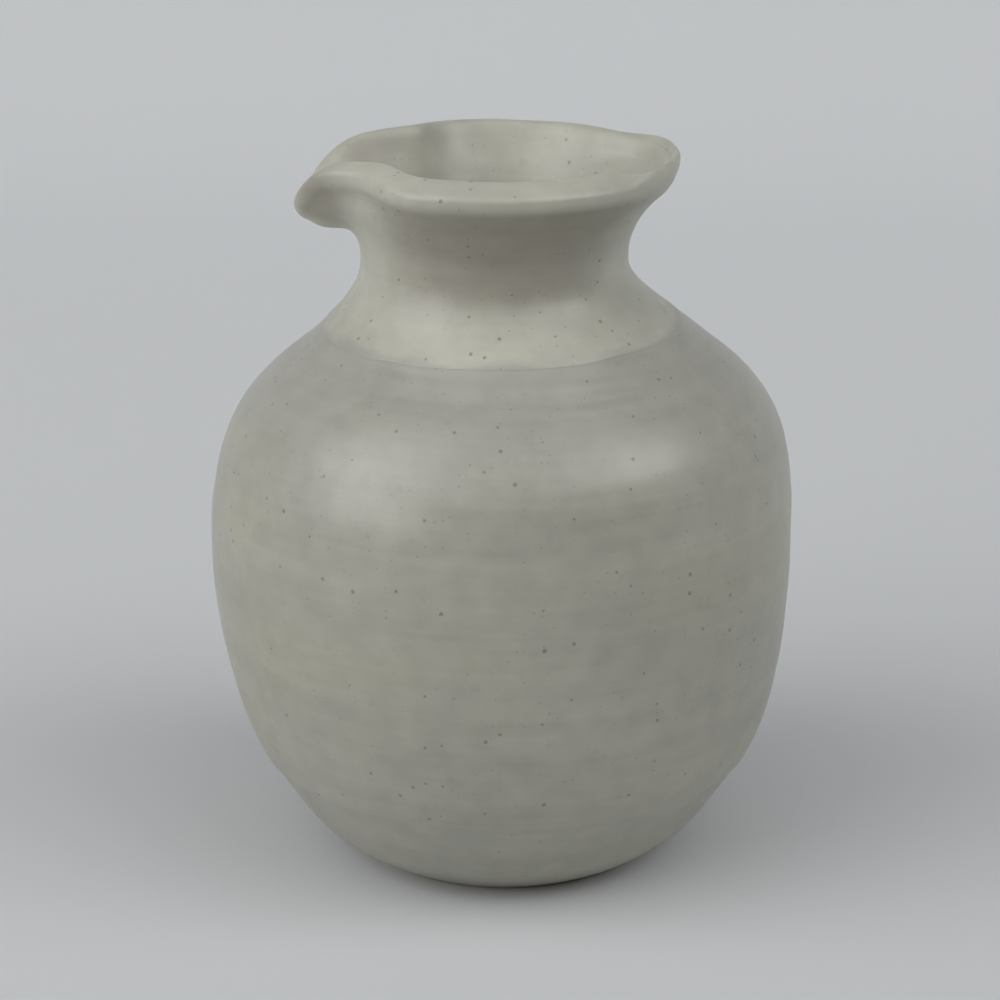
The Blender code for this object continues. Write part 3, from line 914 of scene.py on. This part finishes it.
class JAR_OT_dip_neck(bpy.types.Operator):
    """Coat the neck, lip and spout with cream glaze that laps over both other coats"""

    bl_idname = "jar.dip_neck"
    bl_label = "Dip Neck"

    def execute(self, context):
        glaze = context.scene.jar_glaze
        outline, hands = workshop(context)
        points = outline.throat_in + outline.neck_out[::-1][1:]
        count = len(points)
        under = [glaze.clearance] * count
        under[:LAP_POINTS] = [glaze.clearance + glaze.liner_coat + glaze.lap_gap] * LAP_POINTS
        under[-LAP_POINTS:] = [glaze.clearance + glaze.belly_coat + glaze.lap_gap] * LAP_POINTS
        face = glaze.clearance + glaze.neck_coat
        over = []
        for index, depth in enumerate(under):
            share = min(rounded_rise(index), rounded_rise(count - 1 - index))
            over.append(depth + (face - depth) * share)
        section = shifted(points, over) + shifted(points, under)[::-1]
        bm = turned_piece(section, True, context.scene.jar_wall.steps)
        show_piece(context, bm, hands, "neck_coat", "neck_glaze", cream_glaze(glaze, outline))
        return {"FINISHED"}


class JAR_OT_pour_liner(bpy.types.Operator):
    """Coat the inside with cream glaze, from the floor to just under the neck's coat"""

    bl_idname = "jar.pour_liner"
    bl_label = "Pour Liner"

    def execute(self, context):
        glaze = context.scene.jar_glaze
        outline, hands = workshop(context)
        wall_in = outline.liner_in
        floor_middle = Vector((0.0, wall_in[0].y))
        points = [floor_middle] + wall_in + outline.throat_in[1:LAP_POINTS]
        over = coat_depths(len(points), glaze.clearance, glaze.liner_coat, False)
        under = [glaze.clearance] * len(points)
        section = shifted(points, over) + shifted(points, under)[::-1]
        bm = turned_piece(section, False, context.scene.jar_wall.steps)
        show_piece(context, bm, hands, "liner_coat", "liner_glaze", liner_glaze(glaze))
        return {"FINISHED"}


class JAR_OT_set_stage(bpy.types.Operator):
    """Set the jar on a pale floor with soft lamps and a camera"""

    bl_idname = "jar.set_stage"
    bl_label = "Set Stage"

    def execute(self, context):
        stage = context.scene.jar_stage
        self.lay_floor(context, stage)
        for lamp in LAMPS:
            self.hang_lamp(context, stage, lamp)
        self.light_world(context, stage)
        self.place_camera(context, stage)
        context.scene.view_settings.view_transform = "Standard"
        return {"FINISHED"}

    def lay_floor(self, context, stage):
        """A floor that turns up into a backdrop, drawn out sideways from one edge line."""
        bm = bmesh.new()
        front = bm.verts.new((-stage.floor_width, -stage.floor_front, 0.0))
        turn = bm.verts.new((-stage.floor_width, stage.floor_back, 0.0))
        bm.edges.new((front, turn))
        middle = (0.0, stage.floor_back, stage.sweep_radius)
        swept = bmesh.ops.spin(
            bm, geom=[turn], cent=middle, axis=(1.0, 0.0, 0.0), angle=UPRIGHT, steps=SWEEP_STEPS
        )
        top = [item for item in swept["geom_last"] if isinstance(item, bmesh.types.BMVert)]
        raised = bmesh.ops.extrude_vert_indiv(bm, verts=top)
        bmesh.ops.translate(bm, verts=raised["verts"], vec=(0.0, 0.0, stage.backdrop_height))
        drawn = bmesh.ops.extrude_edge_only(bm, edges=list(bm.edges))
        side = [item for item in drawn["geom"] if isinstance(item, bmesh.types.BMVert)]
        bmesh.ops.translate(bm, verts=side, vec=(2.0 * stage.floor_width, 0.0, 0.0))
        bmesh.ops.recalc_face_normals(bm, faces=bm.faces)
        mesh = bpy.data.meshes.new("studio_floor")
        bm.to_mesh(mesh)
        bm.free()
        mesh.shade_smooth()
        shader = Shader("studio_floor_finish")
        shader.surface.inputs["Base Color"].default_value = opaque(stage.floor)
        shader.surface.inputs["Roughness"].default_value = stage.floor_roughness
        mesh.materials.append(shader.material)
        floor = bpy.data.objects.new("studio_floor", mesh)
        context.scene.collection.objects.link(floor)

    def hang_lamp(self, context, stage, lamp):
        """A soft rectangular lamp that points at the middle of the jar."""
        data = bpy.data.lights.new(lamp.name + "_lamp", "AREA")
        data.shape = "RECTANGLE"
        data.size = lamp.width
        data.size_y = lamp.height
        data.energy = lamp.power
        data.color = stage.lamp
        azimuth = math.radians(lamp.azimuth)
        elevation = math.radians(lamp.elevation)
        out = math.cos(elevation) * stage.lamp_distance
        up = math.sin(elevation) * stage.lamp_distance
        away = Vector((out * math.cos(azimuth), out * math.sin(azimuth), up))
        hung = bpy.data.objects.new(lamp.name + "_lamp", data)
        hung.location = away + Vector((0.0, 0.0, stage.lamp_aim))
        hung.rotation_euler = away.to_track_quat("Z", "Y").to_euler()
        context.scene.collection.objects.link(hung)

    def light_world(self, context, stage):
        """Soft light from high up in front and from a window on either side."""
        world = bpy.data.worlds.new("studio_world")
        world.use_nodes = True
        nodes = Nodes(world.node_tree)
        way = nodes.add("ShaderNodeTexCoord", "Generated", {}, {})
        up = nodes.add("ShaderNodeSeparateXYZ", "Z", {}, {"Vector": way})
        aside = up.output("X")
        back = up.output("Y")
        high = nodes.between(up, math.sin(stage.sky_low), math.sin(stage.sky_high))
        sky = aside * aside * stage.sky_sides + stage.sky
        edge = math.cos(stage.window_edge)
        middle = math.cos(stage.window_middle)
        behind = back * math.sin(stage.window_turn)
        along = aside * math.cos(stage.window_turn)
        left = nodes.between(behind - along, edge, middle) * stage.left_window
        right = nodes.between(behind + along, edge, middle) * stage.right_window
        front = nodes.between(back, stage.sky_fade, -stage.sky_fade)
        strength = high * front * sky + left + right
        background = world.node_tree.nodes["Background"]
        background.inputs["Color"].default_value = opaque(stage.world)
        nodes.feed(background.inputs["Strength"], strength)
        context.scene.world = world

    def place_camera(self, context, stage):
        """A camera at the photograph's angle."""
        data = bpy.data.cameras.new("jar_camera")
        data.lens = stage.lens
        camera = bpy.data.objects.new("jar_camera", data)
        camera.location = (stage.camera_aside, -stage.camera_back, stage.camera_height)
        camera.rotation_euler = (UPRIGHT - stage.camera_tilt, 0.0, 0.0)
        context.scene.collection.objects.link(camera)
        context.scene.camera = camera


class JAR_PT_sidebar(bpy.types.Panel):
    """Sizes, finishes and stage of the jar"""

    bl_idname = "JAR_PT_sidebar"
    bl_label = "Spouted Jar"
    bl_space_type = "VIEW_3D"
    bl_region_type = "UI"
    bl_category = "Jar"

    def draw(self, context):
        layout = self.layout
        for operator in OPERATORS:
            layout.operator(operator.bl_idname)
        for attribute, group in GROUPS.items():
            layout.label(text=group.__doc__)
            settings = getattr(context.scene, attribute)
            for name in group.__annotations__:
                layout.prop(settings, name)


GROUPS = {
    "jar_wall": JarWall,
    "jar_rim": JarRim,
    "jar_glaze": JarGlaze,
    "jar_stage": JarStage,
}
OPERATORS = (
    JAR_OT_throw_clay,
    JAR_OT_dip_belly,
    JAR_OT_dip_neck,
    JAR_OT_pour_liner,
    JAR_OT_set_stage,
)
CLASSES = (*GROUPS.values(), *OPERATORS, JAR_PT_sidebar)


def register():
    for cls in CLASSES:
        bpy.utils.register_class(cls)
    for attribute, group in GROUPS.items():
        setattr(bpy.types.Scene, attribute, PointerProperty(type=group))


def unregister():
    for attribute in GROUPS:
        delattr(bpy.types.Scene, attribute)
    for cls in reversed(CLASSES):
        bpy.utils.unregister_class(cls)


def main():
    register()
    bpy.ops.jar.throw_clay()
    bpy.ops.jar.dip_belly()
    bpy.ops.jar.dip_neck()
    bpy.ops.jar.pour_liner()
    bpy.ops.jar.set_stage()
    bpy.context.view_layer.update()


if __name__ == "__main__":
    main()
